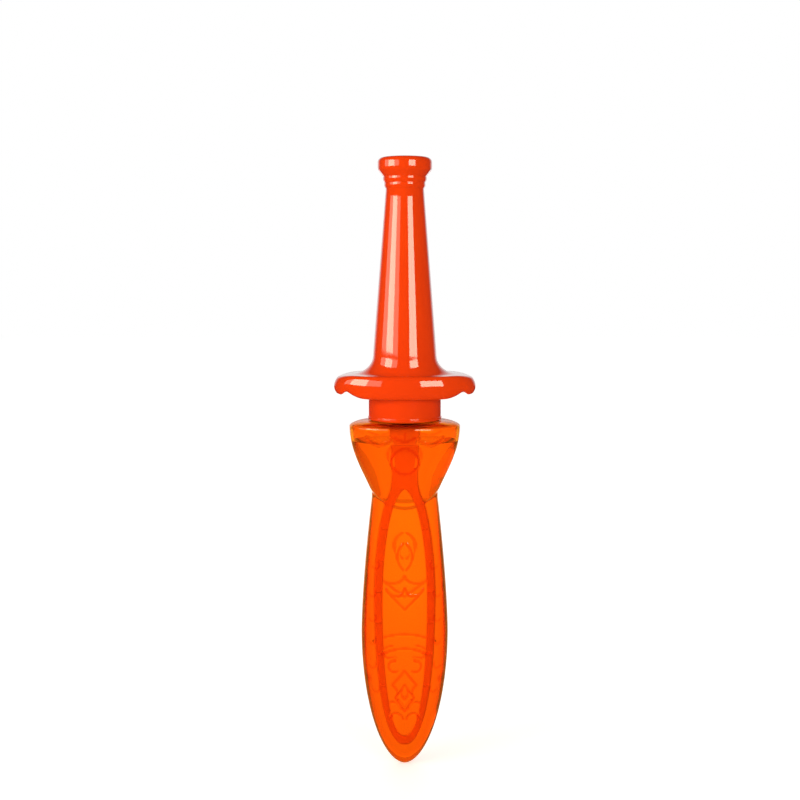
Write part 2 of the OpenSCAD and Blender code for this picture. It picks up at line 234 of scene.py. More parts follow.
class StageSettings(PropertyGroup):
    """Camera, light and floor."""

    lens: FloatProperty(
        name="Lens", description="Focal length on a 36 mm sensor", default=53.145, unit="CAMERA")
    distance: length("Distance", "From the camera to the point it looks at", 656)
    elevation: FloatProperty(
        name="Elevation", description="Angle of the camera", default=math.radians(6.5), subtype="ANGLE")
    aim_x: length("Aim across", "Of the point the camera looks at", -2.65)
    aim_z: length("Aim height", "Of the point the camera looks at", 54.7)
    key_power: watts("Key power", "Power of the left softbox", 3.1)
    scrim_power: watts("Scrim power", "Power of the left scrim", 4.2)
    strip_power: watts("Strip power", "Power of the right softbox", 5.3)
    fill_power: watts("Fill power", "Power of the fill at the back", 6.0)
    room: FloatProperty(name="Room light", description="Strength of the room's even light", default=0.42)
    lamp: colour("Lamp colour", "Colour of the softboxes, a little warm", "#FFF6DE")
    floor: colour("Floor colour", "Colour of the pale floor", "#F4F4F2")


class WandPartSettings(PropertyGroup):
    """All the settings of the bubble wand."""

    bottle: PointerProperty(type=BottleSizes)
    wand: PointerProperty(type=WandSizes)
    hilt: PointerProperty(type=HiltSizes)
    stage: PointerProperty(type=StageSettings)


def round_unit(sides, power=2.0):
    """Unit points round an oval; power 2 is a circle and more is squarer."""
    turn = np.arange(sides) * 2 * math.pi / sides
    c, s = np.cos(turn), np.sin(turn)
    return np.sign(c) * np.abs(c) ** (2 / power), np.sign(s) * np.abs(s) ** (2 / power)


def oval(half_x, half_y, z, sides, power=2.0):
    """A ring of points; the half sizes and the height may differ from point to point."""
    ex, ey = round_unit(sides, power)
    return np.column_stack([half_x * ex, half_y * ey, np.broadcast_to(z, sides)])


def circles(profile, sides):
    """Rings round the axis through the points (r, z) of a profile."""
    return [oval(r, r, z, sides) for r, z in profile]


def smooth_step(value, low, high):
    """Soft change from 0 below low to 1 above high."""
    t = np.clip((value - low) / (high - low), 0, 1)
    return t * t * (3 - 2 * t)


def loft(rings, foot=None, head=None, closed=False):
    """Vertices and faces of a skin through rings, with a point at each end or closed on itself."""
    n, count = len(rings[0]), len(rings)
    verts = [tuple(p) for ring in rings for p in ring]
    faces = []
    for j in range(count if closed else count - 1):
        here, above = j * n, (j + 1) % count * n
        for i in range(n):
            k = (i + 1) % n
            faces.append((here + i, here + k, above + k, above + i))
    if foot is not None:
        verts.append(tuple(foot))
        faces += [(len(verts) - 1, (i + 1) % n, i) for i in range(n)]
    if head is not None:
        last = (count - 1) * n
        verts.append(tuple(head))
        faces += [(last + i, last + (i + 1) % n, len(verts) - 1) for i in range(n)]
    return verts, faces


def rounded(corners, steps=4, closed=False):
    """A profile through corners (r, z, radius), each softened over its radius."""
    points, count = [], len(corners)
    for i, (r, z, radius) in enumerate(corners):
        here = np.array([r, z])
        if radius == 0 or (not closed and i in (0, count - 1)):
            points.append(here)
            continue
        ways = [np.array(corners[k % count][:2]) - here for k in (i - 1, i + 1)]
        spans = [np.linalg.norm(way) for way in ways]
        reach = min(radius, 0.48 * min(spans))
        start, end = [here + way / span * reach for way, span in zip(ways, spans)]
        for k in range(steps + 1):
            t = k / steps
            points.append((1 - t) ** 2 * start + 2 * t * (1 - t) * here + t * t * end)
    return points


def joined(*skins):
    """Several skins as one list of vertices and one of faces."""
    verts, faces = [], []
    for more_verts, more_faces in skins:
        base = len(verts)
        verts += more_verts
        faces += [tuple(i + base for i in face) for face in more_faces]
    return verts, faces


def add_piece(name, skin, materials, body, stands_for=(), turn_out=False):
    """A smooth mesh piece that rides on a body and takes the place of the nodes it stands for."""
    mesh = bpy.data.meshes.new(name)
    mesh.from_pydata(skin[0], [], skin[1])
    for material in materials:
        mesh.materials.append(material)
    if turn_out:
        work = bmesh.new()
        work.from_mesh(mesh)
        bmesh.ops.remove_doubles(work, verts=work.verts, dist=1e-6)
        bmesh.ops.recalc_face_normals(work, faces=work.faces)
        work.to_mesh(mesh)
        work.free()
    mesh.shade_smooth()
    obj = bpy.data.objects.new(name, mesh)
    bpy.context.scene.collection.objects.link(obj)
    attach(obj, body)
    if stands_for:
        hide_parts(*stands_for)
    return obj


def add_node(tree, kind, inputs=None, **settings):
    """A shader node with its settings and values; a node or socket as a value means a link."""
    made = tree.nodes.new("ShaderNode" + kind)
    for key, value in settings.items():
        setattr(made, key, value)
    for key, value in (inputs or {}).items():
        if isinstance(value, bpy.types.Node):
            value = next(out for out in value.outputs if out.enabled)
        if isinstance(value, bpy.types.NodeSocket):
            tree.links.new(value, made.inputs[key])
        else:
            made.inputs[key].default_value = value
    return made


def new_material(name):
    """A material, its tree, and the coordinates in metres that its patterns follow."""
    material = bpy.data.materials.new(name)
    material.use_nodes = True
    tree = material.node_tree
    tree.nodes.clear()
    return material, tree, add_node(tree, "TexCoord").outputs["Object"]


def per_mm(size):
    """Noise scale whose blotches are about this many millimetres across."""
    return 1 / (size * MM)


def moulded_plastic(name, dark, light, sheen, waviness, blotch, polish=0.0):
    """Opaque moulded plastic: faint flow marks, a slightly uneven gloss and any crisp polish over it."""
    material, tree, where = new_material(name)
    flow = add_node(tree, "TexNoise", {"Vector": where, "Scale": per_mm(blotch), "Detail": 3.0})
    tone = add_node(tree, "Mix", {0: flow, 6: dark, 7: light}, data_type="RGBA")
    # The mould's fine grain, of about a millimetre, makes the gloss uneven
    fine = add_node(tree, "TexNoise", {"Vector": where, "Scale": per_mm(1.2), "Detail": 2.0})
    gloss = add_node(tree, "MapRange", {"Value": fine, "To Min": sheen[0], "To Max": sheen[1]})
    # Walls shrink as they cool, in swells of about a centimetre and a half
    swell = add_node(tree, "TexNoise", {"Vector": where, "Scale": per_mm(14), "Detail": 1.0})
    bump = add_node(tree, "Bump", {"Height": swell, "Distance": waviness * MM})
    shader = add_node(tree, "BsdfPrincipled", {
        "Base Color": tone, "Roughness": gloss, "Normal": bump, "IOR": PLASTIC_IOR,
        "Coat Weight": polish, "Coat Roughness": 0.05, "Coat Normal": bump})
    add_node(tree, "OutputMaterial", {"Surface": shader})
    return material


def clear_shader(tree, tone, gloss, normal, ior, lamp_tint, clearness=1.0):
    """Clear surface that bends what is seen through it and lets the lamps shine straight in."""
    shader = add_node(tree, "BsdfPrincipled", {
        "Base Color": tone, "Roughness": gloss, "Normal": normal, "IOR": ior,
        "Transmission Weight": clearness})
    straight = add_node(tree, "BsdfTransparent", {"Color": lamp_tint})
    rays = add_node(tree, "LightPath").outputs
    both = add_node(tree, "MixShader", {0: rays["Is Shadow Ray"], 1: shader, 2: straight})
    add_node(tree, "OutputMaterial", {"Surface": both})


def tinted_plastic(name, sizes, ior):
    """Blown tinted plastic: clear and glossy, and deeper in colour where the wall is seen along."""
    material, tree, where = new_material(name)
    # Blown walls are a little uneven, in swells of about a centimetre
    swell = add_node(tree, "TexNoise", {"Vector": where, "Scale": per_mm(11), "Detail": 1.0})
    bump = add_node(tree, "Bump", {"Height": swell, "Distance": 0.12 * MM})
    haze = add_node(tree, "TexNoise", {"Vector": where, "Scale": per_mm(5), "Detail": 2.0})
    gloss = add_node(tree, "MapRange", {"Value": haze, "To Min": 0.02, "To Max": 0.07})
    along = add_node(tree, "LayerWeight", {"Blend": 0.35}).outputs["Facing"]
    deep = add_node(tree, "Mix", {0: along, 6: sizes.tint, 7: sizes.depth_tint}, data_type="RGBA")
    # The scrolls are thicker than the wall round them, so they show a deeper colour, and the same colour is
    # painted shade: the darker lines that their bending of the light would draw, and on the hooks painted
    # shade alone
    thick = add_node(tree, "Attribute", attribute_name="scroll").outputs["Fac"]
    tone = add_node(tree, "Mix", {0: thick, 6: deep, 7: sizes.scroll_tint_and_shade}, data_type="RGBA")
    # A long way through the plastic also scatters the light
    clearness = add_node(tree, "MapRange", {
        "Value": along, "From Min": 0.4, "From Max": 0.75, "To Min": 1.0, "To Max": 0.06})
    lamp_tint = tuple(math.sqrt(c) for c in sizes.tint)
    clear_shader(tree, tone, gloss, bump, ior, lamp_tint, clearness)
    return material


def soapy_water(name, ior):
    """Bubble solution: clear and smooth, and faintly streaked where soap gathers."""
    material, tree, where = new_material(name)
    streak = add_node(tree, "TexNoise", {"Vector": where, "Scale": per_mm(6), "Detail": 2.0})
    gloss = add_node(tree, "MapRange", {"Value": streak, "To Max": 0.04})
    bump = add_node(tree, "Bump", {"Height": streak, "Strength": 0.5, "Distance": 0.1 * MM})
    clear_shader(tree, (0.98, 0.98, 0.97, 1.0), gloss, bump, ior, (1, 1, 1, 1))
    return material


def foam_sheet(name, tone):
    """Punched polyethylene foam: pale and matt, with cells of half a millimetre."""
    material, tree, where = new_material(name)
    cells = add_node(tree, "TexVoronoi", {"Vector": where, "Scale": per_mm(0.5)})
    shade = tuple(c * 0.82 for c in tone[:3]) + (1.0,)
    mottle = add_node(tree, "Mix", {0: cells, 6: tone, 7: shade}, data_type="RGBA")
    rough = add_node(tree, "MapRange", {"Value": cells, "To Min": 0.75, "To Max": 0.95})
    bump = add_node(tree, "Bump", {"Height": cells, "Strength": 0.6, "Distance": 0.1 * MM})
    shader = add_node(tree, "BsdfPrincipled", {"Base Color": mottle, "Roughness": rough, "Normal": bump})
    add_node(tree, "OutputMaterial", {"Surface": shader})
    return material


def blade_half(b, z, wall, low):
    """Half width and half depth of the blade at height z, drawn in by the wall."""
    below = np.clip((-b.belly_drop - z) / (-b.belly_drop - low), 0, 1)
    above = np.clip((z + b.belly_drop) / b.belly_drop, 0, 1)
    halves = []
    for belly, waist in ((b.blade_w, b.waist_w), (b.blade_d, b.waist_d)):
        belly, waist = belly / 2 - wall, waist / 2 - wall
        taper = belly - (belly - waist) * above ** TAPER_POWER
        halves.append(np.where(below > 0, belly * (1 - below ** 2) ** TIP_POWER, taper))
    return halves


def lip_height(b, ey):
    """Height of the bowl's lower lip, which dips towards the front and back."""
    return b.lip_side_h - b.lip_dip * ey ** 2


def bowl_half(b, u, wall):
    """Half width and half depth of the bowl, u of the way from its lip to its rim."""
    full = np.sin(QUARTER * np.clip(u, 0, 1)) ** BOWL_POWER
    halves = []
    for waist, rim, step in ((b.waist_w, b.bowl_w, 0.5), (b.waist_d, b.bowl_d, 1.0)):
        lip = waist / 2 - wall + step * b.lip_step
        halves.append(lip + (rim / 2 - wall - lip) * full)
    return halves


def blend(one, other, share):
    """Half width and half depth a share of the way from one pair to another."""
    return [a + (b - a) * share for a, b in zip(one, other)]


def shoulder_rings(b, wall, steps):
    """Rings from the bowl's rim over the shoulder to the foot of the neck."""
    foot = b.neck_r + b.neck_spread - wall
    rim = b.bowl_w / 2 - wall, b.bowl_d / 2 - wall
    rings = []
    for i in range(1, steps + 1):
        turn = QUARTER * i / steps
        z = b.bowl_h + (b.shoulder_h - wall) * math.sin(turn)
        rings.append(oval(*blend((foot, foot), rim, math.cos(turn)), z, BOTTLE_SIDES))
    return rings


def bow(low, high, i, steps):
    """Height i steps of the way from low to high, with the steps closest together at low."""
    return low + (high - low) * (1 - math.cos(QUARTER * i / steps))


def outer_rings(b):
    """Rings of the bottle's outside from the tip to the rim of the bowl."""
    sides, tip, belly = BOTTLE_SIDES, BOTTLE_LOW.z, -b.belly_drop
    lip = lip_height(b, round_unit(sides)[1])
    levels = [bow(tip, belly, i, TIP_RINGS) for i in range(1, TIP_RINGS + 1)]
    levels += [belly * (1 - i / TAPER_RINGS) for i in range(1, TAPER_RINGS + 1)]
    rings = []
    for level in levels:
        # Near the waist the rings bend until the last one lies along the lip
        z = level + lip * smooth_step(level, -30 * MM, 0)
        rings.append(oval(*blade_half(b, z, 0, tip), z, sides))
    blade = blade_half(b, lip, 0, tip)
    for i in range(1, BOWL_RINGS + 1):
        # The rings lie closer together near the lip
        u = (i / BOWL_RINGS) ** 1.3
        rise = (b.bowl_h - lip) * u
        # The lip turns out of the blade in a small rounded step
        step = smooth_step(rise, -0.4 * MM, 2.4 * MM)
        rings.append(oval(*blend(blade, bowl_half(b, u, 0), step), lip + rise, sides))
    return rings


def inner_ring(b, z, sides, gap=0.0):
    """Ring of the bottle's inside at height z, drawn in by a gap."""
    low = lip_height(b, round_unit(sides)[1]) + b.wall
    blade = blade_half(b, z, b.wall, BOTTLE_LOW.z + b.tip_wall)
    bowl = bowl_half(b, (z - low) / (b.bowl_h - low), b.wall)
    half_x, half_y = blend(blade, bowl, smooth_step(z, low - 2 * MM, low + 0.5 * MM))
    return oval(half_x - gap, half_y - gap, z, sides)


def inner_levels(b, bowl_steps, blade_steps, tip_steps):
    """Heights of the inside's rings, from the fill line down to just above its tip."""
    knee, belly, low = -6 * MM, -b.belly_drop, BOTTLE_LOW.z + b.tip_wall
    levels = [b.fill_h + (knee - b.fill_h) * i / bowl_steps for i in range(bowl_steps)]
    levels += [knee + (belly - knee) * i / blade_steps for i in range(blade_steps)]
    return levels + [bow(low, belly, i, tip_steps) for i in range(tip_steps, 0, -1)]


def arc_stroke(x, z, r, start, end, grow=0.0):
    """Points of an arc or, with grow, of a scroll, in millimetres and degrees."""
    turn = np.radians(np.linspace(start, end, 40))
    reach = r * (1 + grow * np.linspace(0, 1, 40))
    return np.column_stack([x + reach * np.cos(turn), z + reach * np.sin(turn)])


def scroll_strokes():
    """Plain scrollwork for front and back, in millimetres: its bold strokes and its faint hooks."""
    bold, faint = [
        arc_stroke(0, 23.5, 7, 0, 360),
        np.array([[0, -103], [5, -111], [0, -119], [-5, -111], [0, -103]]),
        np.array([[-7.5, -52], [0, -60], [7.5, -52]]),
        np.array([[0, 34.5], [0, 39]]),
    ], []
    for side in (-1, 1):
        flip = np.array([side, 1])
        half = [
            arc_stroke(14, 41, 8.5, 215, 325),
            arc_stroke(0, 42, 7.5, 225, 270),
            arc_stroke(-6.5, -30, 10.5, 45, -45),
            arc_stroke(4.5, -47, 4.5, 190, 345, 0.3),
            arc_stroke(0, -104, 22, 90, 55),
            arc_stroke(5.5, -93, 4.2, 95, -120, -0.4),
            arc_stroke(5, -124, 4, 180, 20, -0.2),
        ]
        bold += [stroke * flip for stroke in half]
        for x, z in ((16.5, -36), (18.5, -52), (18.5, -66), (18.5, -79), (18.5, -93), (16.5, -107)):
            faint.append(arc_stroke(x, z, 2.6, 140, 320, -0.3) * flip)
    return bold, faint


def relief_heights(points, half_width, strokes):
    """How much of the strokes' height stands at each point (x, z), from 0 to 1."""
    height = np.zeros(len(points))
    for stroke in strokes:
        stroke = stroke * MM
        low, high = stroke.min(0) - half_width, stroke.max(0) + half_width
        near = np.where(np.all((points > low) & (points < high), axis=1))[0]
        for start, end in zip(stroke[:-1], stroke[1:]):
            along = end - start
            reach = np.clip(((points[near] - start) @ along) / (along @ along), 0, 1)
            gap = np.linalg.norm(points[near] - start - reach[:, None] * along, axis=1)
            rise = 0.5 + 0.5 * np.cos(np.pi * np.minimum(gap / half_width, 1))
            height[near] = np.maximum(height[near], rise)
    return height


def seam_share(across):
    """How much of a parting line's height stands at each distance from the mould's middle plane."""
    return np.clip(1 - np.abs(across) / SEAM_HALF, 0, 1)


def raised(rings, b):
    """The bottle's outer rings with scrolls and a parting line, and each point's share of the scroll colour,
    deeper plastic and painted shade.
    """
    grid = np.array(rings)
    along = np.roll(grid, -1, axis=1) - np.roll(grid, 1, axis=1)
    up = np.gradient(grid, axis=0)
    out = np.cross(along, up)
    out /= np.linalg.norm(out, axis=2, keepdims=True) + 1e-12
    flat = grid.reshape(-1, 3)
    facing = smooth_step(np.abs(out[..., 1]).reshape(-1), SCROLL_FROM, SCROLL_FULL)
    bold, faint = [relief_heights(flat[:, [0, 2]], b.relief_w, strokes) for strokes in scroll_strokes()]
    scroll = bold * facing
    height = b.relief_h * (scroll + HOOK_HEIGHT * faint * facing)
    height += b.seam_h * (seam_share(flat[:, 1]) * (np.abs(flat[:, 0]) > 1.5 * MM))
    # The box's lowest point stays where the frame has it
    height = np.where(flat[:, 2] < BOTTLE_LOW.z + 1 * MM, 0, height)
    # The colour's share: on the scrolls deeper plastic and painted shade, on the hooks painted shade only
    tone = np.minimum(1, SCROLL_TONE * np.maximum(scroll, HOOK_SHADE * faint))
    return list((flat + out.reshape(-1, 3) * height[:, None]).reshape(grid.shape)), tone


def helix(h, root_r, crest_r, z, steps=150):
    """A screw thread that swells out of its wall, runs round and sinks in again."""
    width = h.thread_w
    # Its foot is sunk a little into the wall
    sunk = root_r - (crest_r - root_r) * 0.15
    sections = []
    for i in range(steps + 1):
        t = i / steps
        turn = 2 * math.pi * THREAD_TURNS * t
        crest = root_r + (crest_r - root_r) * float(smooth_step(min(t, 1 - t), 0, 0.07))
        flank = root_r + (crest - root_r) * 0.6
        middle = z + h.thread_pitch * THREAD_TURNS * t
        profile = [
            (sunk, -width / 2), (flank, -width / 3), (crest, -width / 6),
            (crest, width / 6), (flank, width / 3), (sunk, width / 2)]
        sections.append(np.array([
            (r * math.cos(turn), r * math.sin(turn), middle + up) for r, up in profile]))
    return loft(sections, sections[0].mean(0), sections[-1].mean(0))


def second_material(obj, start, end, sides):
    """Gives the second material to the faces from start to end, and to those that close the head."""
    for face in obj.data.polygons:
        face.material_index = int(start <= face.index < end or face.index >= end + sides)


class BUBBLE_OT_bottle(Operator):
    """Blown bottle with its bowl, shoulder, neck and thread"""

    bl_idname = "bubble_wand.bottle"
    bl_label = "Bottle"

    def execute(self, context):
        part = context.scene.bubble_wand
        b, h = part.bottle, part.hilt
        sides, rim_z = BOTTLE_SIDES, BOTTLE_HIGH.z
        shoulder_z, foot_r = b.bowl_h + b.shoulder_h, b.neck_r + b.neck_spread
        rings, tone = raised(outer_rings(b) + shoulder_rings(b, 0, SHOULDER_RINGS), b)
        neck = rounded([
            (foot_r, shoulder_z, 0), (b.neck_r, shoulder_z, 1 * MM), (b.neck_r, rim_z, 0.6 * MM),
            (b.bore_r, rim_z, 0.6 * MM), (b.bore_r, shoulder_z - b.wall, 0.4 * MM),
            (foot_r - b.wall, shoulder_z - b.wall, 0)])
        rings += circles(neck[1:-1], sides)
        rings += shoulder_rings(b, b.wall, SHOULDER_RINGS // 2)[::-1]
        dry_levels = [b.bowl_h + (b.fill_h - b.bowl_h) * i / 6 for i in range(6)]
        wet_start = (len(rings) + len(dry_levels)) * sides
        rings += [inner_ring(b, z, sides) for z in dry_levels + inner_levels(b, 20, 24, 24)]
        wet_end = (len(rings) - 1) * sides
        skin = loft(rings, (0, 0, BOTTLE_LOW.z), (0, 0, BOTTLE_LOW.z + b.tip_wall))
        tinted = tinted_plastic("tinted_pvc_blown", b, PLASTIC_IOR)
        # Against water the inside hardly bends the light
        wetted = tinted_plastic("tinted_pvc_wetted", b, PLASTIC_IOR / WATER_IOR)
        bottle = add_piece("blown_bottle", skin, [tinted, wetted], "bottle", ["bottle"])
        # Each point's share of the scroll colour, partly deeper plastic and partly painted shade, goes to
        # the material
        marks = bottle.data.attributes.new("scroll", "FLOAT", "POINT")
        marks.data.foreach_set("value", np.pad(tone, (0, len(skin[0]) - len(tone))))
        second_material(bottle, wet_start, wet_end, sides)
        thread = helix(h, b.neck_r, b.neck_r + h.thread_h, shoulder_z + 2.6 * MM)
        add_piece("neck_thread", thread, [tinted], "bottle", turn_out=True)
        return {"FINISHED"}


class BUBBLE_OT_solution(Operator):
    """Bubble solution in the bottle, with its curved edge at the wall"""

    bl_idname = "bubble_wand.solution"
    bl_label = "Solution"

    def execute(self, context):
        b = context.scene.bubble_wand.bottle
        sides, gap = SOLUTION_SIDES, 0.05 * MM
        levels = inner_levels(b, 26, 30, 26)[::-1]
        rings = [inner_ring(b, z, sides, gap) for z in levels]
        # The water creeps up the wall a little and lies flat further in
        for inset, drop in ((0.3, 0.12), (0.8, 0.22), (1.6, 0.28), (3, 0.3), (9, 0.3)):
            rings.append(inner_ring(b, b.fill_h, sides, inset * MM) - (0, 0, drop * MM))
        skin = loft(rings, (0, 0, levels[0] - gap), (0, 0, b.fill_h - drop * MM))
        # The wall already bends the light beside it, so only the water's top bends it again
        waters = [soapy_water("soapy_water_at_wall", 1.0), soapy_water("soapy_water", WATER_IOR)]
        solution = add_piece("bubble_solution", skin, waters, "bottle")
        second_material(solution, (len(levels) - 1) * sides, (len(rings) - 1) * sides, sides)
        return {"FINISHED"}


def leaf_half(w, z, half, top, low):
    """Half-width at height z of a leaf that is pointed towards its top and round towards its foot."""
    wide = -w.loop_drop
    if z > wide:
        return half * max(0.0, 1 - ((z - wide) / (top - wide)) ** 2) ** FORK_POWER
    return half * max(0.0, 1 - ((wide - z) / (wide - low)) ** 2) ** LOOP_POWER


def loop_edges(w, z):
    """Half-widths of the loop's outer edge and of its window at height z."""
    outer = leaf_half(w, z, w.loop_w / 2, w.fork_h + 2 * w.rail_w, WAND_LOW.z)
    return outer, leaf_half(w, z, w.loop_w / 2 - w.rail_w, w.fork_h, w.fork_h - w.window_h)


def wand_outlines(w, stem_top):
    """Outer outline of loop and stem, and outline of the window, as points (x, z)."""
    stem, spread = w.stem_w / 2, (w.stem_top_w - w.stem_w) / 2
    flare_r = (w.flare_h ** 2 + spread ** 2) / (2 * spread)
    flare_z, soft, steps = w.fork_h + w.stem_w, 1.5 * MM, 120
    right = [(w.stem_top_w / 2, stem_top)]
    for i in range(13):
        z = flare_z + w.flare_h * (1 - i / 12)
        right.append((stem + flare_r - math.sqrt(flare_r ** 2 - (z - flare_z) ** 2), z))
    window = []
    for i in range(1, steps):
        share = (1 - math.cos(math.pi * i / steps)) / 2
        z = flare_z + (WAND_LOW.z - flare_z) * share
        x = loop_edges(w, z)[0]
        # The stem runs into the rails in a soft corner
        if z > -w.loop_drop:
            x = (stem + x + math.hypot(stem - x, soft)) / 2
        right.append((x, z))
        z = w.fork_h - w.window_h * share
        window.append((loop_edges(w, z)[1], z))
    outer = right + [(0, WAND_LOW.z)] + [(-x, z) for x, z in reversed(right)]
    window = [(0, w.fork_h)] + window + [(0, w.fork_h - w.window_h)] + [(-x, z) for x, z in reversed(window)]
    return outer, window


def plate_skin(outlines, thick, edge_r):
    """A flat moulded plate with rounded edges, cut from outlines in the XZ plane."""
    curve = bpy.data.curves.new("plate_outline", "CURVE")
    curve.dimensions = "2D"
    curve.fill_mode = "BOTH"
    curve.extrude = thick / 2 - edge_r
    curve.bevel_depth = edge_r
    curve.bevel_resolution = 2
    curve.offset = -edge_r
    for outline in outlines:
        spline = curve.splines.new("POLY")
        spline.points.add(len(outline) - 1)
        for point, (x, z) in zip(spline.points, outline):
            point.co = (x, z, 0, 1)
        spline.use_cyclic_u = True
    holder = bpy.data.objects.new("plate_outline", curve)
    bpy.context.scene.collection.objects.link(holder)
    bpy.context.view_layer.update()
    mesh = bpy.data.meshes.new_from_object(holder.evaluated_get(bpy.context.evaluated_depsgraph_get()))
    verts = [(v.co.x, v.co.z, v.co.y) for v in mesh.vertices]
    faces = [tuple(p.vertices) for p in mesh.polygons]
    bpy.data.objects.remove(holder)
    bpy.data.meshes.remove(mesh)
    bpy.data.curves.remove(curve)
    return verts, faces


def rib_skin(x, z, size):
    """A cross rib of the wand: a small bar with rounded edges."""
    width, depth, height = size
    rings = []
    for share, inset in ((-1, 0.55), (-0.86, 0.18), (-0.5, 0), (0.5, 0), (0.86, 0.18), (1, 0.55)):
        ring = oval(width / 2 - inset * height / 2, height / 2 * (1 - inset), 0, RIB_SIDES, 5.0)
        rings.append(ring[:, [0, 2, 1]] + (x, share * depth / 2, z))
    return loft(rings, (x, -depth / 2, z), (x, depth / 2, z))


def turned_skin(corners, sides=TURNED_SIDES, closed=False):
    """A turned piece through corners (r, z, radius); one that isn't closed starts and ends on the axis."""
    profile = rounded(corners, closed=closed)
    if closed:
        return loft(circles(profile, sides), closed=True)
    return loft(circles(profile[1:-1], sides), (0, 0, profile[0][1]), (0, 0, profile[-1][1]))


class BUBBLE_OT_wand(Operator):
    """Moulded wand: plug, flange, stem and ribbed loop"""

    bl_idname = "bubble_wand.wand"
    bl_label = "Wand"

    def execute(self, context):
        w = context.scene.bubble_wand.wand
        top = WAND_HIGH.z
        flange_z = top - w.plug_h - w.flange_t
        skins = [plate_skin(wand_outlines(w, flange_z + w.flange_t / 2), w.thick, w.edge_r)]
        soft = 0.4 * MM
        skins.append(turned_skin([
            (0, flange_z, 0), (w.flange_r, flange_z, soft), (w.flange_r, flange_z + w.flange_t, soft),
            (w.plug_r, flange_z + w.flange_t, soft), (w.plug_r, top, 2 * soft), (0, top, 0)], PLUG_SIDES))
        rib_size = (w.rail_w - w.rib_out, w.thick + 2 * w.rib_out, w.rib_h)
        for side in (-1, 1):
            for i in range(w.rib_pairs):
                z = (i - (w.rib_pairs - 1) / 2) * w.rib_pitch - w.loop_drop
                skins.append(rib_skin(side * sum(loop_edges(w, z)) / 2, z, rib_size))
        # Moulded polypropylene: evenly coloured, satin, slightly waxy
        satin = moulded_plastic("moulded_pp_satin", w.dark, w.light, (0.3, 0.42), 0.05, 20)
        add_piece("moulded_wand", joined(*skins), [satin], "sword", ["wand"], turn_out=True)
        return {"FINISHED"}


def hilt_plastic(h):
    """Blown polyethylene of hilt and cap: opaque, high gloss, in faint swells."""
    name = "blown_pe_gloss"
    return bpy.data.materials.get(name) or moulded_plastic(
        name, h.dark, h.light, (0.04, 0.08), 0.08, 30, 1.0)


class BUBBLE_OT_cap(Operator):
    """Screw cap with its thread, and the foam seal under it"""

    bl_idname = "bubble_wand.cap"
    bl_label = "Screw cap and seal"

    def execute(self, context):
        part = context.scene.bubble_wand
        h, w, bore = part.hilt, part.wand, part.bottle.bore_r
        gloss = hilt_plastic(h)
        foot, ledge = CAP_LOW.z, HILT_LOW.z
        plate = ledge - h.plate_t
        lip_r, soft = CAP_HIGH.x, 0.35 * MM
        socket_r, socket_top = w.plug_r + h.push_clear, CAP_HIGH.z - h.spigot_wall
        spigot_in, spigot_top = h.spigot_r - h.spigot_wall, ledge + h.spigot_h
        cap = turned_skin([
            (0, socket_top, 0), (socket_r, socket_top, soft), (socket_r, plate, soft),
            (h.skirt_bore_r, plate, soft), (h.skirt_bore_r, foot, soft), (lip_r, foot, soft),
            (lip_r, foot + h.skirt_lip_h, soft), (h.cap_r, foot + h.skirt_lip_h + 0.3 * MM, soft),
            (h.cap_r, ledge, 0.25 * MM), (h.spigot_r, ledge, soft),
            (h.spigot_r, spigot_top - 2.6 * MM, soft), (h.spigot_r + 0.25 * MM, spigot_top - 2 * MM, soft),
            (h.spigot_r, spigot_top - 1.4 * MM, soft), (h.spigot_r, spigot_top, soft),
            (spigot_in, spigot_top, soft), (spigot_in, ledge, soft), (socket_r + h.spigot_wall, ledge, soft),
            (socket_r + h.spigot_wall, CAP_HIGH.z, soft), (0, CAP_HIGH.z, 0)])
        add_piece("moulded_screw_cap", cap, [gloss], "sword", ["screw_cap"])
        thread = helix(h, h.skirt_bore_r, h.skirt_bore_r - h.thread_h, foot + 2.2 * MM)
        add_piece("cap_thread", thread, [gloss], "sword", turn_out=True)
        seal_r = SEAL_HIGH.x
        seal = turned_skin([
            (bore, SEAL_LOW.z, 0.2 * MM), (seal_r, SEAL_LOW.z, 0.3 * MM),
            (seal_r, SEAL_HIGH.z, 0.3 * MM), (bore, SEAL_HIGH.z, 0.2 * MM)], closed=True)
        foam = foam_sheet("pe_foam_punched", h.foam)
        add_piece("foam_seal", seal, [foam], "seal", ["seal_ring"])
        return {"FINISHED"}


def underside(h, x, flat_r, knob_x):
    """Height of the guard's underside above its flat middle, softened where the knobs begin."""
    total = 0
    shifts = np.linspace(-0.9, 0.9, 7) * MM
    for shift in shifts:
        far = np.abs(x) + shift
        rise = h.guard_rise * (np.clip(far - flat_r, 0, None) / (knob_x - flat_r)) ** 2
        knob = h.guard_rise - h.knob_drop * np.clip((far - knob_x) / (h.knob_len / 3), 0, 1)
        total = total + np.where(far < knob_x, rise, knob)
    return total / len(shifts)


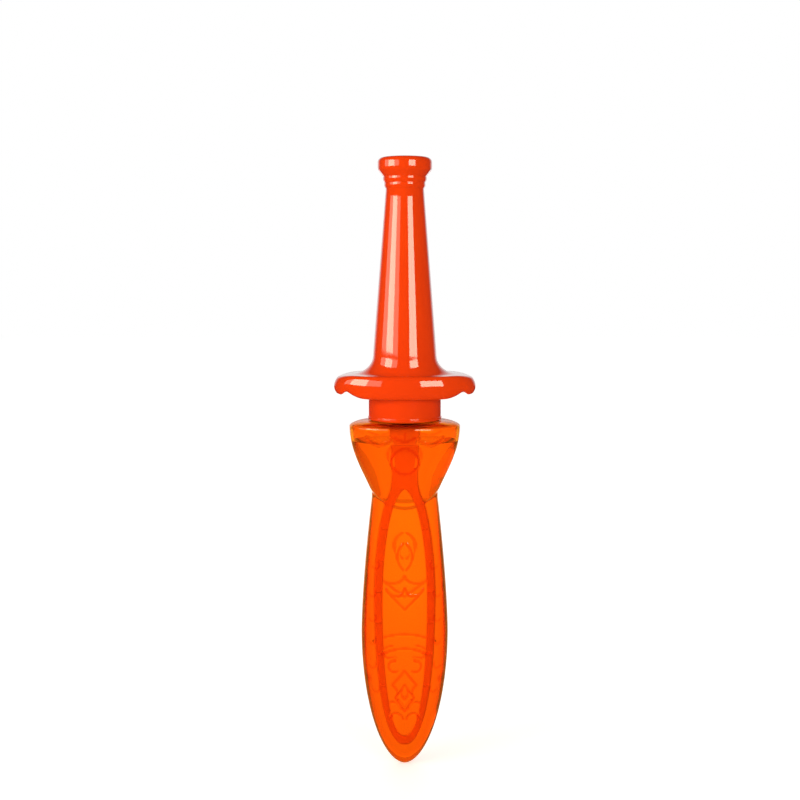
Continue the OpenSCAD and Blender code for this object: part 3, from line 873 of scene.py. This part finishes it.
def guard_rings(h, wall):
    """Rings of the guard from its underside round its bulging side and up the flare to the grip."""
    low, high = HILT_LOW.z + wall, HILT_LOW.z + h.guard_h - wall
    foot_r, top_r, middle = h.foot_r, h.top_r, (low + high) / 2
    half_x, half_y = HILT_HIGH.x - wall, HILT_HIGH.y - wall
    flat_r, knob_x = h.cap_r + 1 * MM, HILT_HIGH.x - h.knob_len
    droop_x, grip_foot = HILT_HIGH.x * 2 / 3, h.grip_foot_r - wall
    path = [((1 - share) * half_y, low) for share in (0.8, 0.86)]
    for a in np.linspace(0, QUARTER, 6):
        path.append((foot_r * (1 - math.sin(a)), low + foot_r * (1 - math.cos(a))))
    path += [(0, low + foot_r + (high - top_r - low - foot_r) * i / 8) for i in range(1, 8)]
    for a in np.linspace(0, QUARTER, 8):
        path.append((top_r * (1 - math.cos(a)), high - top_r * (1 - math.sin(a))))
    rings = []
    for inset, z in path:
        near = max(0.0, (high - top_r - z) / (high - top_r - low))
        inset = inset + h.bulge * ((z - middle) / (high - middle)) ** 2
        ring = oval(half_x * (1 - inset / half_y), half_y - inset, z, HILT_SIDES)
        rings.append((ring, near))
    for a in np.linspace(0, QUARTER, 12):
        out, up = 1 - math.sin(a), 1 - math.cos(a)
        ring = oval(grip_foot + h.flare_side * out, grip_foot + h.flare_front * out,
                    high + h.flare_rise * up, HILT_SIDES)
        rings.append((ring, 0))
    for ring, near in rings:
        far = np.clip(np.abs(ring[:, 0]) - droop_x, 0, None) / (HILT_HIGH.x - droop_x)
        ring[:, 2] += near * underside(h, ring[:, 0], flat_r, knob_x) - (1 - near) * h.droop * far ** 2
    return [ring for ring, near in rings]


def grip_rings(h, wall):
    """Rings up the grip from its flare, over the two rings and round the pommel."""
    foot_z = HILT_LOW.z + h.guard_h - wall + h.flare_rise
    foot, grip_top, head = h.grip_foot_r - wall, h.grip_top_r - wall, h.pommel_r - wall
    ring_z = HILT_LOW.z + h.guard_h + h.grip_h
    pommel_z, pommel_top = ring_z + 2 * h.ring_h, HILT_HIGH.z - wall
    pommel_foot, edge = h.pommel_foot_r - wall, h.pommel_edge_r
    profile = [
        (foot + (grip_top - foot) * i / 12, foot_z + (ring_z - foot_z) * i / 12, 0) for i in range(13)]
    if wall == 0:
        # Two beads that meet in a groove, on a cone that widens up to the pommel
        for i in range(1, 24):
            rise = i / 24
            bead = abs(math.sin(2 * math.pi * rise))
            profile.append((grip_top + (pommel_foot - grip_top) * rise + h.ring_out * bead,
                            ring_z + 2 * h.ring_h * rise, 0))
    profile += [(pommel_foot, pommel_z + wall, 0.3 * MM), (head, pommel_z + wall + h.slope_h, 1.2 * MM)]
    for i in range(9):
        a = QUARTER * i / 8
        profile.append((head - edge * (1 - math.cos(a)), pommel_top - edge * (1 - math.sin(a)), 0))
    profile.append((head * 0.4, pommel_top, 0))
    return circles(rounded(profile)[1:], HILT_SIDES)


class BUBBLE_OT_hilt(Operator):
    """Blown hilt: guard, grip, two rings and pommel in one hollow shell"""

    bl_idname = "bubble_wand.hilt"
    bl_label = "Hilt"

    def execute(self, context):
        h = context.scene.bubble_wand.hilt
        mouth_r = h.spigot_r + h.push_clear
        collar_r, collar_z = mouth_r + h.wall, HILT_LOW.z + h.spigot_h + h.wall
        outside = guard_rings(h, 0) + grip_rings(h, 0)
        for ring in outside:
            inner = np.abs(ring[:, 0]) < HILT_HIGH.x - 2 * MM
            ring[:, 0] += np.sign(ring[:, 0]) * h.seam_h * seam_share(ring[:, 1]) * inner
        inside = grip_rings(h, h.wall)[::-1] + guard_rings(h, h.wall)[::-1]
        collar = circles((
            (collar_r, HILT_LOW.z + h.wall), (collar_r, collar_z), (mouth_r, collar_z),
            (mouth_r, HILT_LOW.z + 0.3 * MM), (mouth_r + 0.3 * MM, HILT_LOW.z)), HILT_SIDES)
        rings = inside + collar + outside
        skin = loft(rings, (0, 0, HILT_HIGH.z - h.wall), (0, 0, HILT_HIGH.z))
        add_piece("blown_hilt", skin, [hilt_plastic(h)], "sword", ["hilt"])
        return {"FINISHED"}


def aim(obj, target):
    """Turns a lamp or camera to look at a point."""
    obj.rotation_euler = (Vector(target) - obj.location).to_track_quat("-Z", "Y").to_euler()


class BUBBLE_OT_stage(Operator):
    """Pale floor, white background, two softboxes, a scrim, a fill and the camera"""

    bl_idname = "bubble_wand.stage"
    bl_label = "Stage"

    def execute(self, context):
        scene = context.scene
        s = scene.bubble_wand.stage
        target = Vector((s.aim_x, 0, s.aim_z))
        camera = bpy.data.objects.new("camera", bpy.data.cameras.new("camera"))
        camera.data.lens = s.lens
        camera.data.sensor_width = SENSOR
        camera.location = target + Vector((0, -math.cos(s.elevation), math.sin(s.elevation))) * s.distance
        scene.collection.objects.link(camera)
        aim(camera, target)
        scene.camera = camera
        # Each lamp's turn from the camera's side in degrees, its distance and its size in metres
        for name, turn, far, size, power in (
                ("softbox_left", -59, 0.9, (0.45, 0.42), s.key_power),
                ("scrim_left", -60, 1.1, (1.5, 0.5), s.scrim_power),
                ("softbox_right", 31, 1.15, (0.58, 0.45), s.strip_power),
                ("fill_back", 180, 1.2, (1.2, 0.6), s.fill_power)):
            lamp = bpy.data.lights.new(name, "AREA")
            lamp.shape = "RECTANGLE"
            lamp.size, lamp.size_y = size
            lamp.energy = power
            lamp.color = s.lamp[:3]
            holder = bpy.data.objects.new(name, lamp)
            side, height = math.radians(turn), LAMP_FOOT + size[1] / 2
            holder.location = (math.sin(side) * far, -math.cos(side) * far, height)
            holder.visible_camera = False
            # The fill only lifts the shadows on the back, so neither gloss nor clear plastic shows it
            holder.visible_glossy = holder.visible_transmission = name != "fill_back"
            scene.collection.objects.link(holder)
            aim(holder, (0, 0, height))
        self.make_floor(scene, s)
        self.make_world(scene, s)
        scene.view_settings.view_transform = "Standard"
        return {"FINISHED"}

    def make_floor(self, scene, s):
        """Floor under the tip, white to the eye but still shaded by the part."""
        mesh = bpy.data.meshes.new("floor")
        corners = ((-1, -1), (1, -1), (1, 1), (-1, 1))
        verts = [(x * FLOOR_HALF, y * FLOOR_HALF, BOTTLE_LOW.z) for x, y in corners]
        mesh.from_pydata(verts, [], [(0, 1, 2, 3)])
        material, tree, where = new_material("floor_painted_board")
        grit = add_node(tree, "TexNoise", {"Vector": where, "Scale": per_mm(40), "Detail": 2.0})
        pale = tuple(c * 0.97 for c in s.floor[:3]) + (1.0,)
        tone = add_node(tree, "Mix", {0: grit, 6: s.floor, 7: pale}, data_type="RGBA")
        board = add_node(tree, "BsdfDiffuse", {"Color": tone})
        rays = add_node(tree, "LightPath").outputs
        gloss, clear = rays["Is Glossy Ray"], rays["Is Transmission Ray"]
        # The eye sees white in which the part's shadow just shows, and a brighter white far from the part
        far = add_node(tree, "VectorMath", {0: where}, operation="LENGTH")
        sweep = add_node(tree, "MapRange", {
            "Value": far, "From Min": 0.16, "From Max": 0.8, "To Min": FLOOR_NEAR, "To Max": FLOOR_FAR})
        eye = add_node(tree, "Math", {0: rays["Is Camera Ray"], 1: sweep}, operation="MULTIPLY")
        # Light on its way from a matt surface sees the plain board
        seen = add_node(tree, "Math", {0: gloss, 1: clear}, operation="MAXIMUM")
        seen = add_node(tree, "Math", {0: seen, 1: rays["Diffuse Depth"]}, operation="GREATER_THAN")
        glow = add_node(tree, "Math", {0: seen, 1: FLOOR_SEEN, 2: eye}, operation="MULTIPLY_ADD")
        white = add_node(tree, "Emission", {"Strength": glow})
        both = add_node(tree, "AddShader", {0: board, 1: white})
        # Gloss finds the bright floor straight behind the part only, and clear plastic a dimmer one in front
        x, y, _ = add_node(tree, "SeparateXYZ", {0: where}).outputs
        aside = add_node(tree, "Math", {0: x}, operation="ABSOLUTE")
        behind = add_node(tree, "Math", {0: aside, 1: -2.0, 2: y}, operation="MULTIPLY_ADD")
        front = add_node(tree, "MapRange", {"Value": behind, "From Max": 0.3, "To Min": 1.0, "To Max": 0.0})
        near = add_node(tree, "MapRange", {"Value": y, "From Max": 0.4, "To Min": 0.38, "To Max": 0.0})
        level = add_node(tree, "Mix", {0: clear, 2: front, 3: near})
        dim = add_node(tree, "Math", {0: gloss, 1: level}, operation="MULTIPLY")
        dusk = add_node(tree, "Emission", {"Strength": FLOOR_DIM})
        shown = add_node(tree, "MixShader", {0: dim, 1: both, 2: dusk})
        add_node(tree, "OutputMaterial", {"Surface": shown})
        mesh.materials.append(material)
        floor = bpy.data.objects.new("floor", mesh)
        scene.collection.objects.link(floor)

    def make_world(self, scene, s):
        """Even room light, with a white background for the eye, for gloss and through clear plastic."""
        world = bpy.data.worlds.new("studio")
        world.use_nodes = True
        tree = world.node_tree
        tree.nodes.clear()
        rays = add_node(tree, "LightPath").outputs
        way = add_node(tree, "TexCoord").outputs["Generated"]
        y = add_node(tree, "SeparateXYZ", {0: way}).outputs["Y"]
        # Gloss shows the white background behind the part, and a dim room in front of it
        level = add_node(tree, "MapRange", {
            "Value": y, "From Min": 0.7, "From Max": 0.98, "To Min": 0.03, "To Max": 0.8})
        level = add_node(tree, "Mix", {0: rays["Is Glossy Ray"], 2: s.room, 3: level})
        # Clear plastic shows the same white, and the greyer room to its sides draws its edges and scrolls
        through = add_node(tree, "MapRange", {"Value": y, "From Min": 0.2, "From Max": 0.9, "To Min": 0.65})
        level = add_node(tree, "Mix", {0: rays["Is Transmission Ray"], 2: level, 3: through})
        # Light on its way from a matt surface sees the plain room
        matt = add_node(tree, "Math", {0: rays["Diffuse Depth"], 1: 0.5}, operation="GREATER_THAN")
        level = add_node(tree, "Mix", {0: matt, 2: level, 3: s.room})
        level = add_node(tree, "Mix", {0: rays["Is Camera Ray"], 2: level, 3: 1.0})
        back = add_node(tree, "Background", {"Color": (1, 1, 1, 1), "Strength": level})
        add_node(tree, "OutputWorld", {"Surface": back})
        scene.world = world


OPERATORS = (
    BUBBLE_OT_bottle, BUBBLE_OT_solution, BUBBLE_OT_wand, BUBBLE_OT_cap, BUBBLE_OT_hilt, BUBBLE_OT_stage)


class BUBBLE_PT_panel(Panel):
    """Lists the pieces of the bubble wand"""

    bl_idname = "BUBBLE_PT_panel"
    bl_label = "Bubble wand"
    bl_space_type = "VIEW_3D"
    bl_region_type = "UI"
    bl_category = "Bubble wand"

    def draw(self, context):
        for operator in OPERATORS:
            self.layout.operator(operator.bl_idname)


CLASSES = (
    BottleSizes, WandSizes, HiltSizes, StageSettings, WandPartSettings, *OPERATORS, BUBBLE_PT_panel)


def register():
    for item in CLASSES:
        bpy.utils.register_class(item)
    bpy.types.Scene.bubble_wand = PointerProperty(type=WandPartSettings)


def unregister():
    del bpy.types.Scene.bubble_wand
    for item in reversed(CLASSES):
        bpy.utils.unregister_class(item)


def main():
    register()
    bpy.ops.bubble_wand.bottle()
    bpy.ops.bubble_wand.solution()
    bpy.ops.bubble_wand.wand()
    bpy.ops.bubble_wand.cap()
    bpy.ops.bubble_wand.hilt()
    bpy.ops.bubble_wand.stage()


if __name__ == "__main__":
    main()
